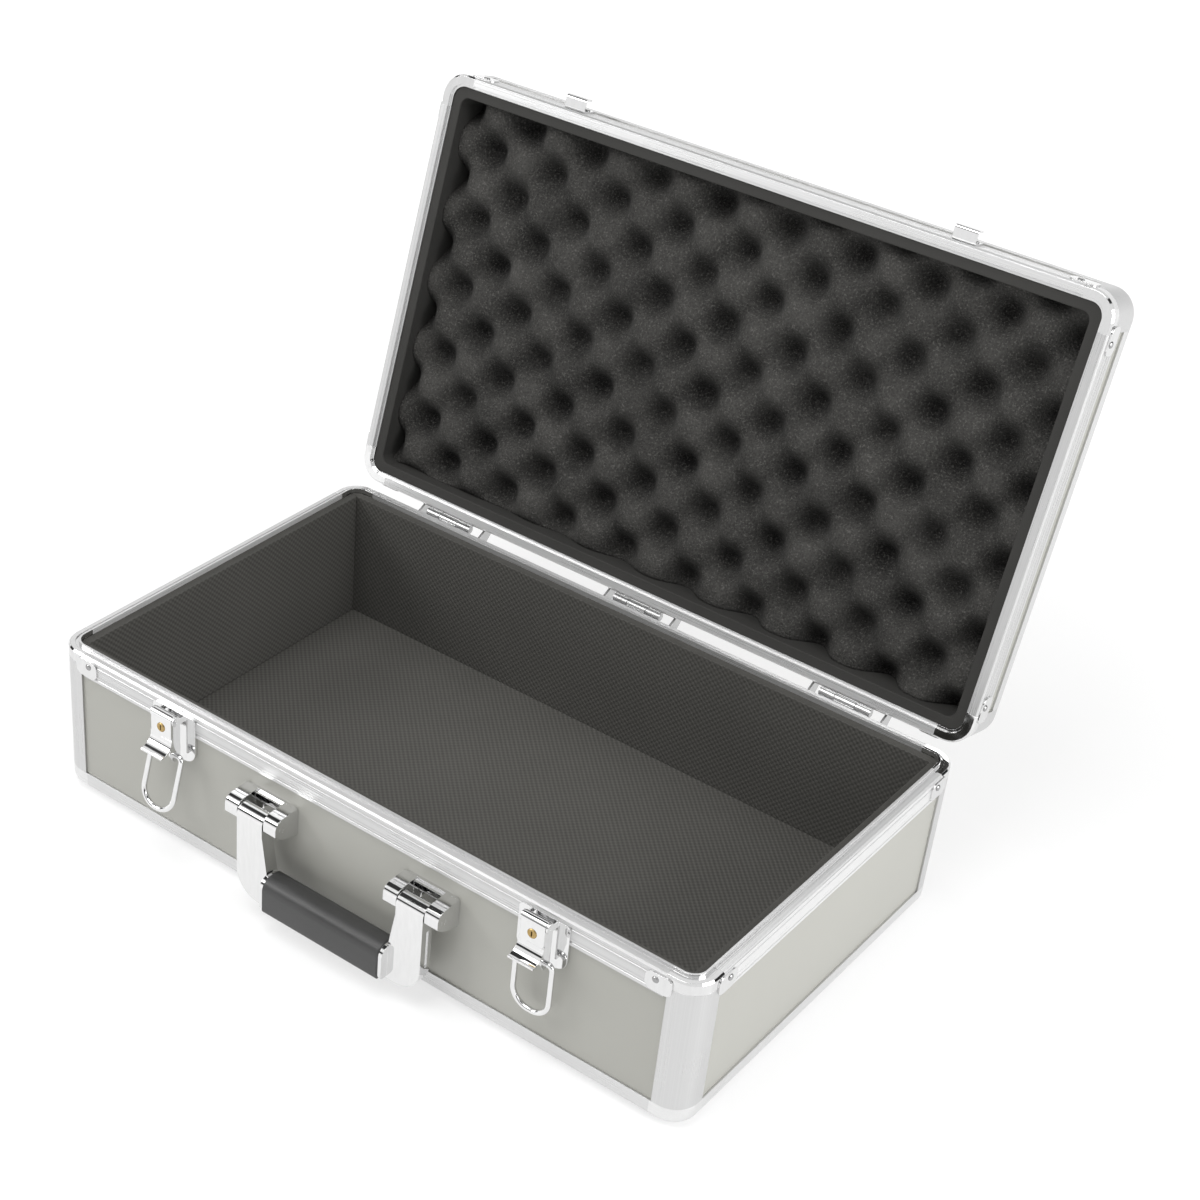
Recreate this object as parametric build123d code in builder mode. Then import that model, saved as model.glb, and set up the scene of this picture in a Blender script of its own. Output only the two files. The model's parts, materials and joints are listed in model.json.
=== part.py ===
from build123d import *
import os
from math import ceil, cos, radians, sin

# Pedalboard case in millimetres, +Z up, front towards -Y, hinges at the back.
# The origin is the centre of the bottom board's underside. The lid is modelled
# closed and written open, leaning on the stops of its hinges.

# The case as a whole
case_width = 500.0
case_depth = 294.0
base_height = 108.0
lid_height = 38.0
lid_open_angle = 105.4
seal_gap = 0.4

# Sheet, boards and corner radii
skin = 1.4
board = 5.2
corner_round = 17.0
edge_round = 6.0
edge_height = 13.0
edge_flange = 20.0
cap_leg = 22.5

# Rim extrusions and their chrome corners
rim_width = 8.0
rim_height = 16.4
inner_leg_depth = 10.0
inner_leg = 1.2
shoulder = 1.2
base_web = 1.8
lid_web = 3.2
tongue = 1.5
tongue_width = 1.4
tongue_clearance = 0.4
groove_start = 4.2
groove_depth = 0.8
line_width = 0.7
line_depth = 0.45
base_lines = (13.6, 4.4)
lid_lines = (13.4, 9.4, 5.4)
corner_leg = 23.5
corner_flange = 8.0
tab_thick = 1.0
tab_start = 18.0
tab_length = 18.0
tab_height = 12.6
tab_drop = 2.0
tab_round = 4.5
tab_rivet = 29.0
tab_rivet_drop = 6.4

# Corner posts
post_leg = 21.3
post_web = 1.2

# Lining and foam
floor_lining = 3.0
wall_lining = 6.0
lining_gap = 0.4  # the floor sheet is cut a little small
lining_drop = 2.2
lid_lining = 7.0
lid_lining_drop = 2.6
lid_lining_round = 6.0
foam_base = 9.0
foam_bump = 13.0
bump_pitch_x = 51.6
bump_pitch_y = 49.4
bump_root = 17.2
bump_slope = 37.0
bump_sides = 8
bump_phase_x = -5.9
bump_phase_y = -19.1

# Hinges
hinge_offset = 3.4
hinge_spacing = 164.0
leaf_width = 56.0
leaf_thick = 1.2
leaf_bottom = 15.2
leaf_setback = 3.3
knuckle_radius = 2.8
hinge_pin_radius = 1.5
pin_clearance = 0.05
middle_knuckle = 15.0
knuckle_span = 38.0
knuckle_gap = 0.5
stop_thick = 1.6
stop_reach = 14.0
stop_start = 5.5
stop_gap = 0.3
leaf_rivet_x = 20.0
leaf_rivet_drop = 9.5

# Rivets
rivet_head = 2.2
rivet_rise = 0.8
rivet_shank = 1.2
rivet_grip = 1.0

# Latches on the front, heights counted down from the rim
latch_inset = 105.0
plate_width = 36.0
plate_thick = 1.2
plate_top = 3.0
plate_bottom = 37.0
plate_round = 9.0
plate_top_round = 3.0
lever_width = 17.0
lever_sheet = 1.2
lever_pivot_out = 9.0
lever_pivot_drop = 3.2
barrel_radius = 3.6
lever_pin_radius = 1.2
face_bottom = 17.0
lip_out = 22.0
lip_drop = 26.0
lip_width = 18.0
ear_gap = 0.2
ear_thick = 1.0
ear_radius = 3.3
bail_pivot_out = 7.5
bail_pivot_drop = 31.0
cheek_radius = 3.0
wire_radius = 1.8
bail_half = 12.9
bail_length = 40.0
bail_round = 12.0
bail_bend = 3.2
left_bail_lean = 16.0  # the left bail stands off the board a little
plug_drop = 10.0
plug_radius = 2.6
plug_head = 3.2
plug_rise = 0.6
plug_length = 5.4
key_slot_width = 0.9
key_slot_length = 3.6
key_slot_depth = 1.6
cam_length = 5.4
cam_width = 3.6
cam_thick = 1.0
keeper_gap = 0.3
keeper_thick = 1.0
plate_rivet_x = 3.6
plate_rivet_high = 9.0
plate_rivet_low = 29.0

# Strikes on the lid's front rim, heights counted up from the lid's mouth
strike_width = 16.0
strike_thick = 1.2
hook_drop = 2.4
strike_top = 15.0
hook_depth = 9.2
hook_rise = 6.6
strike_rivet = 12.0

# Handle, heights counted down from the rim
handle_half = 63.3
handle_pivot_out = 14.0
handle_pivot_drop = 36.0
handle_barrel = 6.3
handle_pin_radius = 2.0
leg_width = 20.6
leg_swell = 4.4
leg_depth = 9.6
leg_side_groove = 0.8
leg_side_groove_width = 2.0
handle_bottom = 96.5
handle_corner = 19.0
spine = 4.0
shoulder_drop = 70.5
shoulder_step = 4.0
grip_half = 46.0
grip_top = 70.0
grip_front = 27.2
grip_back = 7.6
grip_round = 8.0
grip_under = 1.2
collar = 3.0
collar_inset = 0.9
bracket_width = 41.6
bracket_top = 27.5
bracket_bottom = 49.5
bracket_flange = 2.0
bracket_round = 3.0
ear_inner_gap = 0.5
bracket_nose = 19.7
pocket_wall = 3.2
bracket_drop = 1.4

# Feet
foot_height = 4.0
foot_radius = 9.0
foot_chamfer = 1.0
foot_inset_x = 42.0
foot_inset_y = 38.0
back_foot_low = 22.0
back_foot_high = 62.0

# Places that follow from the sizes
half_w = case_width / 2
half_d = case_depth / 2
rim_z = base_height - skin
lid_z = rim_z + seal_gap
lid_top = lid_z + lid_height
channel_back = skin + board
hinge_y = half_d + hinge_offset
hinge_axis = Axis((0, hinge_y, rim_z), (1, 0, 0))
sides = {"front": (0, 1), "back": (0, -1), "left": (1, 0), "right": (-1, 0)}
low_corner = (Align.MIN, Align.MIN)
latch_x = half_w - latch_inset
latch_places = {"left": -latch_x, "right": latch_x}
handle_places = {"left": -handle_half, "right": handle_half}
hinge_places = (-hinge_spacing, 0.0, hinge_spacing)

os.makedirs("parts", exist_ok=True)


def write(piece, name):
    piece.label = name
    export_step(piece, f"parts/{name}.step")


def write_lid(piece, name):
    write(piece.rotate(hinge_axis, -lid_open_angle), name)


# A section plane at the middle of one side: local x runs inward from the outer
# face, local y runs down (lift -1) or up (lift 1) from the given height.
def side_plane(inward, height, lift):
    ix, iy = inward
    origin = (-ix * half_w, -iy * half_d, height)
    return Plane(origin=origin, x_dir=(ix, iy, 0), z_dir=(iy * lift, -ix * lift, 0))


def side_length(inward):
    return case_width if inward[1] else case_depth


# Plan of the front left corner, x and y counted inward from the two outer faces
def corner_plane(height):
    return Plane(origin=(-half_w, -half_d, height))


# Upright plane at the middle of one side, facing outward, local x along the
# side and local y up
def face_plane(inward, height, out):
    ix, iy = inward
    origin = (-ix * (half_w + out), -iy * (half_d + out), height)
    return Plane(origin=origin, x_dir=(iy, -ix, 0), z_dir=(-ix, -iy, 0))


def front_plane(out):
    return face_plane(sides["front"], rim_z, out)


# Upright plane across the front, local x out from the case and local y up
def across_front(x):
    return Plane(origin=(x, -half_d, rim_z), x_dir=(0, -1, 0), z_dir=(-1, 0, 0))


def rim_sketch(plane, flange, leg_end, tongued, lines):
    outer = [(0, flange)]
    for depth in lines:
        outer += [(0, depth + line_width), (line_depth, depth + line_width / 2)]
        outer += [(line_depth, depth - line_width / 2), (0, depth - line_width)]
    outer += [(0, shoulder), (shoulder, 0)]
    lip_start = rim_width - tongue_width
    if tongued:
        web = base_web
        mouth = [(groove_start, 0), (groove_start, groove_depth), (lip_start, groove_depth)]
        mouth += [(lip_start, -tongue), (rim_width, -tongue)]
    else:
        web = lid_web
        recess = tongue + tongue_clearance
        recess_start = lip_start - tongue_clearance
        mouth = [(recess_start, 0), (recess_start, recess), (rim_width, recess)]
    leg_start = rim_width - inner_leg
    if leg_end > web:
        inner = [(rim_width, leg_end), (leg_start, leg_end), (leg_start, web)]
    else:
        inner = [(rim_width, web)]
    with BuildSketch(plane) as section:
        with BuildLine():
            Polyline(*outer, *mouth, *inner, (skin, web), (skin, flange), close=True)
        make_face()
    return section.sketch


# Rounded L of sheet along the bottom and top edges
def edge_sketch(plane):
    middle = skin / 2
    with BuildSketch(plane) as section:
        with BuildLine():
            FilletPolyline((middle, edge_height), (middle, middle), (edge_flange, middle),
                           radius=edge_round - middle)
        trace(line_width=skin)
    return section.sketch


def all_corners(piece):
    with BuildPart() as four:
        add(piece)
        mirror(about=Plane.YZ)
        mirror(about=Plane.XZ)
    return four.part


# Chrome corner of a rim: the rim's mouth turned through a quarter, with a
# riveted tab on each face
def rim_corners(height, lift, tongued):
    with BuildPart() as corner:
        with BuildLine(corner_plane(height)) as path:
            FilletPolyline((corner_leg, 0), (0, 0), (0, corner_leg), radius=corner_round)
        start = Plane(origin=(-half_w + corner_leg, -half_d, height),
                      x_dir=(0, 1, 0), z_dir=(lift, 0, 0))
        sweep(rim_sketch(start, corner_flange, 0, tongued, ()), path=path.line)
        tab_middle = (tab_start + tab_length / 2, lift * (tab_drop + tab_height / 2))
        rivet_place = (tab_rivet, lift * tab_rivet_drop)
        front_face = Plane(corner_plane(height).origin, x_dir=(1, 0, 0), z_dir=(0, -1, 0))
        left_face = Plane(corner_plane(height).origin, x_dir=(0, 1, 0), z_dir=(-1, 0, 0))
        for face, turn in ((front_face, 1), (left_face, -1)):
            with BuildSketch(face):
                with Locations((tab_middle[0], turn * tab_middle[1])):
                    RectangleRounded(tab_length, tab_height, tab_round)
                with Locations((rivet_place[0], turn * rivet_place[1])):
                    Circle(rivet_shank + pin_clearance, mode=Mode.SUBTRACT)
            extrude(amount=tab_thick)
    return all_corners(corner.part)


# Pressed cap over a corner of the base's bottom or the lid's top
def corner_caps(closed_z, open_z):
    rise = open_z - closed_z
    with BuildPart() as cap:
        with BuildSketch(corner_plane(closed_z)):
            Rectangle(cap_leg, cap_leg, align=low_corner)
            fillet(vertices().sort_by_distance((0, 0))[0], corner_round)
        extrude(amount=rise)
        closed_face = cap.faces().sort_by(Axis.Z)[0 if rise > 0 else -1]
        rim_edges = closed_face.edges()
        inner_edges = [rim_edges.sort_by(Axis.X)[-1], rim_edges.sort_by(Axis.Y)[-1]]
        fillet([edge for edge in rim_edges if edge not in inner_edges], edge_round)
        open_faces = [cap.faces().sort_by(Axis.Z)[-1 if rise > 0 else 0]]
        open_faces += [cap.faces().sort_by(Axis.X)[-1], cap.faces().sort_by(Axis.Y)[-1]]
        offset(amount=-skin, openings=open_faces)
    return all_corners(cap.part)


def group(pieces):
    with BuildPart() as together:
        for piece in pieces:
            add(piece)
    return together.part


# Base: boards
with BuildPart() as bottom_board:
    with BuildSketch():
        RectangleRounded(case_width - 2 * channel_back, case_depth - 2 * channel_back,
                         corner_round - channel_back)
    extrude(amount=board)
write(bottom_board.part, "bottom_board")

board_foot = edge_round - skin
for side, inward in sides.items():
    length = side_length(inward) - 2 * corner_round
    with BuildPart() as wall:
        with BuildSketch(side_plane(inward, rim_z, -1)):
            with Locations((skin, base_web)):
                Rectangle(board, rim_z - base_web - board_foot, align=low_corner)
        extrude(amount=length / 2, both=True)
    write(wall.part, f"{side}_board")
    with BuildPart() as strip:
        with BuildSketch(side_plane(inward, lid_z, 1)):
            with Locations((skin, lid_web)):
                Rectangle(board, lid_height - lid_web - edge_round, align=low_corner)
        extrude(amount=length / 2, both=True)
    write_lid(strip.part, f"lid_{side}_board")

# Base and lid: rim and edge extrusions, one length on each side
for side, inward in sides.items():
    rim_half = side_length(inward) / 2 - corner_leg
    edge_half = side_length(inward) / 2 - cap_leg
    with BuildPart() as base_rim:
        plane = side_plane(inward, rim_z, -1)
        extrude(rim_sketch(plane, rim_height, inner_leg_depth, True, base_lines),
                amount=rim_half, both=True)
    write(base_rim.part, f"base_rim_{side}")
    with BuildPart() as lid_rim:
        plane = side_plane(inward, lid_z, 1)
        extrude(rim_sketch(plane, rim_height, inner_leg_depth, False, lid_lines),
                amount=rim_half, both=True)
    write_lid(lid_rim.part, f"lid_rim_{side}")
    with BuildPart() as bottom_edge:
        extrude(edge_sketch(side_plane(inward, -skin, 1)), amount=edge_half, both=True)
    write(bottom_edge.part, f"bottom_edge_{side}")
    with BuildPart() as top_edge:
        extrude(edge_sketch(side_plane(inward, lid_top, -1)), amount=edge_half, both=True)
    write_lid(top_edge.part, f"top_edge_{side}")

# Corners of the base and the lid
write(rim_corners(rim_z, -1, True), "base_rim_corners")
write_lid(rim_corners(lid_z, 1, False), "lid_rim_corners")
write(corner_caps(-skin, edge_height - skin), "bottom_corners")
write_lid(corner_caps(lid_top, lid_z + corner_flange), "lid_corners")

# Corner posts: a rounded outer skin, an inner angle, and webs that make a
# channel for each board
with BuildPart() as post:
    with BuildSketch(corner_plane(edge_height - skin)):
        with BuildLine():
            FilletPolyline((post_leg, skin / 2), (skin / 2, skin / 2), (skin / 2, post_leg),
                           radius=corner_round - skin / 2)
        trace(line_width=skin)
        inner_line = (channel_back + rim_width) / 2
        with BuildLine():
            Polyline((post_leg, inner_line), (inner_line, inner_line), (inner_line, post_leg))
        trace(line_width=rim_width - channel_back)
        with Locations((corner_round - post_web, skin / 2)):
            Rectangle(post_web, board + skin, align=low_corner)
        with Locations((skin / 2, corner_round - post_web)):
            Rectangle(board + skin, post_web, align=low_corner)
    extrude(amount=rim_z - corner_flange - (edge_height - skin))
write(all_corners(post.part), "corner_posts")

# Lining of the base
lining_top = rim_z - lining_drop
inside_w = case_width - 2 * rim_width
inside_d = case_depth - 2 * rim_width
with BuildPart() as floor_sheet:
    with BuildSketch(Plane.XY.offset(board)):
        Rectangle(inside_w - 2 * (wall_lining + lining_gap), inside_d - 2 * (wall_lining + lining_gap))
    extrude(amount=floor_lining)
write(floor_sheet.part, "floor_lining")

with BuildPart() as long_walls:
    with BuildSketch(Plane.XY.offset(board)):
        with GridLocations(0, inside_d - wall_lining, 1, 2):
            Rectangle(inside_w, wall_lining)
    extrude(amount=lining_top - board)
write(long_walls.part, "long_wall_lining")

with BuildPart() as short_walls:
    with BuildSketch(Plane.XY.offset(board)):
        with GridLocations(inside_w - wall_lining, 0, 2, 1):
            Rectangle(wall_lining, inside_d - 2 * wall_lining)
    extrude(amount=lining_top - board)
write(short_walls.part, "short_wall_lining")

# Lid: top board, lining band and convoluted foam
with BuildPart() as top_board:
    with BuildSketch(Plane.XY.offset(lid_top - skin)):
        RectangleRounded(case_width - 2 * channel_back, case_depth - 2 * channel_back,
                         corner_round - channel_back)
    extrude(amount=-board)
write_lid(top_board.part, "top_board")

lid_inside = lid_top - skin - board
with BuildPart() as lid_band:
    with BuildSketch(Plane.XY.offset(lid_inside)):
        RectangleRounded(inside_w, inside_d, corner_round - rim_width)
        RectangleRounded(inside_w - 2 * lid_lining, inside_d - 2 * lid_lining,
                         lid_lining_round, mode=Mode.SUBTRACT)
    extrude(amount=-(lid_inside - lid_z - lid_lining_drop))
write_lid(lid_band.part, "lid_lining")

foam_w = inside_w - 2 * lid_lining
foam_d = inside_d - 2 * lid_lining
columns = ceil(foam_w / bump_pitch_x / 2)
rows = ceil(foam_d / bump_pitch_y / 2)
bump_places = []
for column in range(-columns, columns + 1):
    for row in range(-rows, rows + 1):
        x = bump_phase_x + column * bump_pitch_x
        y = bump_phase_y + row * bump_pitch_y
        bump_places += [(x, y), (x + bump_pitch_x / 2, y + bump_pitch_y / 2)]
bump_places = [(x, y) for x, y in bump_places
               if abs(x) < foam_w / 2 and abs(y) < foam_d / 2]

with BuildPart() as bump:
    with BuildSketch():
        RegularPolygon(bump_root, bump_sides)
    extrude(amount=-foam_bump, taper=bump_slope)

with BuildPart() as foam:
    with BuildSketch(Plane.XY.offset(lid_inside)):
        RectangleRounded(foam_w, foam_d, lid_lining_round)
    extrude(amount=-foam_base)
    with Locations([(x, y, lid_inside - foam_base) for x, y in bump_places]):
        add(bump.part)
    with BuildSketch(Plane.XY.offset(lid_inside)):
        RectangleRounded(foam_w, foam_d, lid_lining_round)
    extrude(amount=-(foam_base + foam_bump), mode=Mode.INTERSECT)
write_lid(foam.part, "lid_foam")


# Hinges: section planes across the hinge axis, local x back and local y up
def across_hinge(x):
    return Plane(origin=(x, hinge_y, rim_z), x_dir=(0, 1, 0), z_dir=(1, 0, 0))


def hinge_leaf(centre, lift, knuckles, stops):
    leaf_height = leaf_bottom - leaf_setback
    with BuildPart() as leaf:
        with BuildSketch(face_plane(sides["back"], rim_z, 0)):
            with Locations((-centre, lift * (leaf_setback + leaf_height / 2))):
                RectangleRounded(leaf_width, leaf_height, leaf_thick)
            with Locations((-centre - leaf_rivet_x, lift * leaf_rivet_drop),
                           (-centre + leaf_rivet_x, lift * leaf_rivet_drop)):
                Circle(rivet_shank + pin_clearance, mode=Mode.SUBTRACT)
        extrude(amount=leaf_thick)
        for start, end in knuckles:
            with BuildSketch(across_hinge(centre + start)):
                Circle(knuckle_radius)
                with Locations((-hinge_offset, 0)):
                    Rectangle(leaf_thick, leaf_setback + leaf_thick,
                              align=(Align.MIN, Align.MAX if lift < 0 else Align.MIN))
                Circle(hinge_pin_radius + pin_clearance, mode=Mode.SUBTRACT)
            extrude(amount=end - start)
        for edge in stops:
            turn = radians(lid_open_angle)
            rest = hinge_offset - leaf_thick
            base_y = -rest * cos(turn)
            base_z = rest * sin(turn) - stop_gap
            near = (stop_start - base_y) / sin(turn)
            far = (stop_reach - base_y) / sin(turn)
            seat = [(base_y + t * sin(turn), base_z + t * cos(turn)) for t in (near, far)]
            with BuildSketch(across_hinge(centre + edge)):
                with BuildLine():
                    Polyline((-rest, -leaf_setback), *seat, (stop_reach, -leaf_setback),
                             (stop_thick, -leaf_bottom), (-rest, -leaf_bottom), close=True)
                make_face()
            extrude(amount=stop_thick)
    return leaf.part


half_middle = middle_knuckle / 2
half_span = knuckle_span / 2
side_start = half_middle + knuckle_gap
stop_edges = (-leaf_width / 2, leaf_width / 2 - stop_thick)
base_leaves = [hinge_leaf(x, -1, [(-half_middle, half_middle)], stop_edges) for x in hinge_places]
lid_knuckles = [(-half_span, -side_start), (side_start, half_span)]
lid_leaves = [hinge_leaf(x, 1, lid_knuckles, ()) for x in hinge_places]
write(group(base_leaves), "hinge_base_leaves")
write_lid(group(lid_leaves), "hinge_lid_leaves")

with BuildPart() as hinge_pins:
    for x in hinge_places:
        with BuildSketch(across_hinge(x - half_span)):
            Circle(hinge_pin_radius)
        extrude(amount=knuckle_span)
write(hinge_pins.part, "hinge_pins")


# Latches
pivot = (lever_pivot_out, -lever_pivot_drop)
bail_pivot = (bail_pivot_out, -bail_pivot_drop)
half_lever = lever_width / 2
ear_start = half_lever + ear_gap
face_out = lever_pivot_out + barrel_radius
keeper_x = half_lever - lever_sheet - keeper_gap - keeper_thick
cam_out = face_out - plug_length
keeper_hook = cam_out + cam_thick + keeper_gap


def latch_plate(x):
    with BuildPart() as plate:
        with BuildSketch(front_plane(0)):
            with Locations((x, -(plate_top + plate_bottom) / 2)):
                Rectangle(plate_width, plate_bottom - plate_top)
            fillet(vertices().group_by(Axis.Y)[0], plate_round)
            fillet(vertices().group_by(Axis.Y)[-1], plate_top_round)
            with Locations((x + plate_rivet_x, -plate_rivet_high), (x, -plate_rivet_low)):
                Circle(rivet_shank + pin_clearance, mode=Mode.SUBTRACT)
        extrude(amount=plate_thick)
        with BuildSketch(front_plane(-skin)):
            with Locations((x, -rim_height)):
                Rectangle(plate_width, plate_bottom - rim_height, align=(Align.CENTER, Align.MAX))
            fillet(vertices().group_by(Axis.Y)[0], plate_round)
        extrude(amount=skin)
        for start in (x - ear_start - ear_thick, x + ear_start):
            with BuildSketch(across_front(start)):
                with Locations(pivot):
                    Circle(ear_radius)
                with Locations((0, -plate_top)):
                    Rectangle(lever_pivot_out, lever_pivot_drop + ear_radius - plate_top,
                              align=(Align.MIN, Align.MAX))
                with Locations(pivot):
                    Circle(lever_pin_radius + pin_clearance, mode=Mode.SUBTRACT)
            extrude(amount=-ear_thick)
        with BuildSketch(front_plane(plate_thick)):
            with Locations((x - keeper_x, -plug_drop)):
                Rectangle(keeper_thick, cam_width + keeper_thick, align=(Align.MAX, Align.CENTER))
        extrude(amount=keeper_hook + keeper_thick - plate_thick)
        with BuildSketch(front_plane(keeper_hook)):
            with Locations((x - keeper_x, -plug_drop)):
                Rectangle(2 * keeper_thick, cam_width + keeper_thick,
                          align=(Align.MIN, Align.CENTER))
        extrude(amount=keeper_thick)
    return plate.part


def latch_lever(x):
    face_line = face_out - lever_sheet / 2
    with BuildPart() as lever:
        with BuildSketch(across_front(x - lip_width / 2)):
            with BuildLine():
                drop = Line((face_line, -face_bottom + lever_sheet), (face_line, -face_bottom))
                TangentArc(drop @ 1, (lip_out, -lip_drop), tangent=drop % 1)
            trace(line_width=lever_sheet)
        extrude(amount=-lip_width)
        with BuildSketch(across_front(x - half_lever)):
            with BuildLine():
                Line((face_line, -lever_pivot_drop), (face_line, -face_bottom))
            trace(line_width=lever_sheet)
            with Locations(pivot):
                Circle(barrel_radius)
        extrude(amount=-lever_width)
        for start in (x - half_lever, x + half_lever - lever_sheet):
            with BuildSketch(across_front(start)):
                with BuildLine():
                    Polyline(pivot, (face_out, -lever_pivot_drop), (face_out, -face_bottom),
                             (face_out + lever_sheet, -bail_pivot_drop + cheek_radius),
                             (bail_pivot_out + cheek_radius, -bail_pivot_drop - cheek_radius),
                             (bail_pivot_out - cheek_radius, -bail_pivot_drop - cheek_radius),
                             (bail_pivot_out - cheek_radius, -lever_pivot_drop), close=True)
                make_face()
                with Locations(bail_pivot):
                    Circle(wire_radius + pin_clearance, mode=Mode.SUBTRACT)
            extrude(amount=-lever_sheet)
        with BuildSketch(across_front(x - half_lever)):
            with Locations(pivot):
                Circle(lever_pin_radius + pin_clearance)
        extrude(amount=-lever_width, mode=Mode.SUBTRACT)
        with BuildSketch(front_plane(cam_out)):
            with Locations((x, -plug_drop)):
                Circle(plug_radius + pin_clearance)
        extrude(amount=plug_length, mode=Mode.SUBTRACT)
    return lever.part


def key_plug(x):
    with BuildPart() as plug:
        with BuildSketch(front_plane(cam_out)):
            with Locations((x, -plug_drop)):
                Circle(plug_radius)
        extrude(amount=plug_length)
        with BuildSketch(front_plane(face_out)):
            with Locations((x, -plug_drop)):
                Circle(plug_head)
        extrude(amount=plug_rise)
        chamfer(plug.faces().sort_by(Axis.Y)[0].edges(), plug_rise / 2)
        with BuildSketch(front_plane(cam_out)):
            with Locations((x, -plug_drop)):
                Rectangle(cam_width, cam_length, align=(Align.CENTER, Align.MAX))
                Circle(cam_width / 2)
        extrude(amount=cam_thick)
        with BuildSketch(front_plane(face_out + plug_rise)):
            with Locations((x, -plug_drop)):
                Rectangle(key_slot_width, key_slot_length)
        extrude(amount=-key_slot_depth, mode=Mode.SUBTRACT)
    return plug.part


def bail(x, lean):
    inner_end = half_lever - lever_sheet - keeper_gap
    low = -bail_pivot_drop - bail_length
    with BuildPart() as wire:
        with BuildLine(front_plane(bail_pivot_out)) as path:
            FilletPolyline((x - inner_end, -bail_pivot_drop), (x - bail_half, -bail_pivot_drop),
                           (x - bail_half, low), (x + bail_half, low),
                           (x + bail_half, -bail_pivot_drop), (x + inner_end, -bail_pivot_drop),
                           radius=[bail_bend, bail_round, bail_round, bail_bend])
        with BuildSketch(across_front(x - inner_end)):
            with Locations(bail_pivot):
                Circle(wire_radius)
        sweep(path=path.line)
    swing = Axis((x, -half_d - bail_pivot_out, rim_z - bail_pivot_drop), (1, 0, 0))
    return wire.part.rotate(swing, -lean)


def latch_pin(x):
    reach = ear_start + ear_thick
    with BuildPart() as pin:
        with BuildSketch(across_front(x - reach)):
            with Locations(pivot):
                Circle(lever_pin_radius)
        extrude(amount=-2 * reach)
    return pin.part


def strike(x):
    hook_middle = hook_depth - strike_thick / 2
    with BuildPart() as hook:
        with BuildSketch(across_front(x - strike_width / 2)):
            with BuildLine():
                FilletPolyline((strike_thick / 2, seal_gap + strike_top),
                               (strike_thick / 2, seal_gap + hook_drop + strike_thick / 2),
                               (hook_middle, seal_gap + hook_drop + strike_thick / 2),
                               (hook_middle, seal_gap + hook_drop + hook_rise),
                               radius=strike_thick)
            trace(line_width=strike_thick)
        extrude(amount=-strike_width)
        with BuildSketch(front_plane(0)):
            with Locations((x - strike_width / 4, seal_gap + strike_rivet),
                           (x + strike_width / 4, seal_gap + strike_rivet)):
                Circle(rivet_shank + pin_clearance)
        extrude(amount=strike_thick, mode=Mode.SUBTRACT)
    return hook.part


leans = {"left": left_bail_lean, "right": 0.0}
for side, x in latch_places.items():
    write(latch_plate(x), f"latch_plate_{side}")
    write(latch_lever(x), f"latch_lever_{side}")
    write(key_plug(x), f"key_plug_{side}")
    write(bail(x, leans[side]), f"bail_{side}")
write(group([latch_pin(x) for x in latch_places.values()]), "latch_pins")
write_lid(group([strike(x) for x in latch_places.values()]), "strikes")


# Handle: brackets on the front board, pins, frame and grip
handle_pivot = (handle_pivot_out, -handle_pivot_drop)


def handle_bracket(x):
    ear_inner = leg_width / 2 + ear_inner_gap
    ear_width = bracket_width / 2 - ear_inner
    with BuildPart() as bracket:
        with BuildSketch(front_plane(-skin)):
            with Locations((x, -(bracket_top + bracket_bottom) / 2)):
                RectangleRounded(bracket_width, bracket_bottom - bracket_top, bracket_round)
        extrude(amount=bracket_flange)
        for start in (x - bracket_width / 2, x + ear_inner):
            with BuildSketch(across_front(start)):
                with BuildLine():
                    Polyline((0, -bracket_top),
                             (bracket_nose, -bracket_top - bracket_drop / 2),
                             (bracket_nose, -handle_pivot_drop - handle_barrel / 2),
                             (handle_pivot_out, -handle_pivot_drop - handle_barrel - bracket_drop),
                             (0, -bracket_bottom + bracket_drop), close=True)
                make_face()
                fillet(vertices().group_by(Axis.X)[-1].sort_by(Axis.Y)[-1], handle_barrel)
                fillet(vertices().group_by(Axis.X)[-1].sort_by(Axis.Y)[0], handle_barrel / 3)
                with Locations(handle_pivot):
                    Circle(handle_pin_radius + pin_clearance, mode=Mode.SUBTRACT)
            extrude(amount=-ear_width)
        with BuildSketch(across_front(x - ear_inner)):
            with Locations((0, -bracket_top - bracket_drop)):
                Rectangle(pocket_wall, bracket_bottom - bracket_top - 2 * bracket_drop,
                          align=(Align.MIN, Align.MAX))
        extrude(amount=-2 * ear_inner)
    return bracket.part


def grip_sketch(plane, inset):
    with BuildSketch(plane) as section:
        with Locations(((grip_front + grip_back) / 2, -(grip_top + handle_bottom - grip_under) / 2)):
            Rectangle(grip_front - grip_back - 2 * inset,
                      handle_bottom - grip_under - grip_top - 2 * inset)
        fillet(section.vertices().group_by(Axis.Y)[-1], grip_round - inset)
        fillet(section.vertices().group_by(Axis.Y)[0], grip_round / 3)
    return section.sketch


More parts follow.
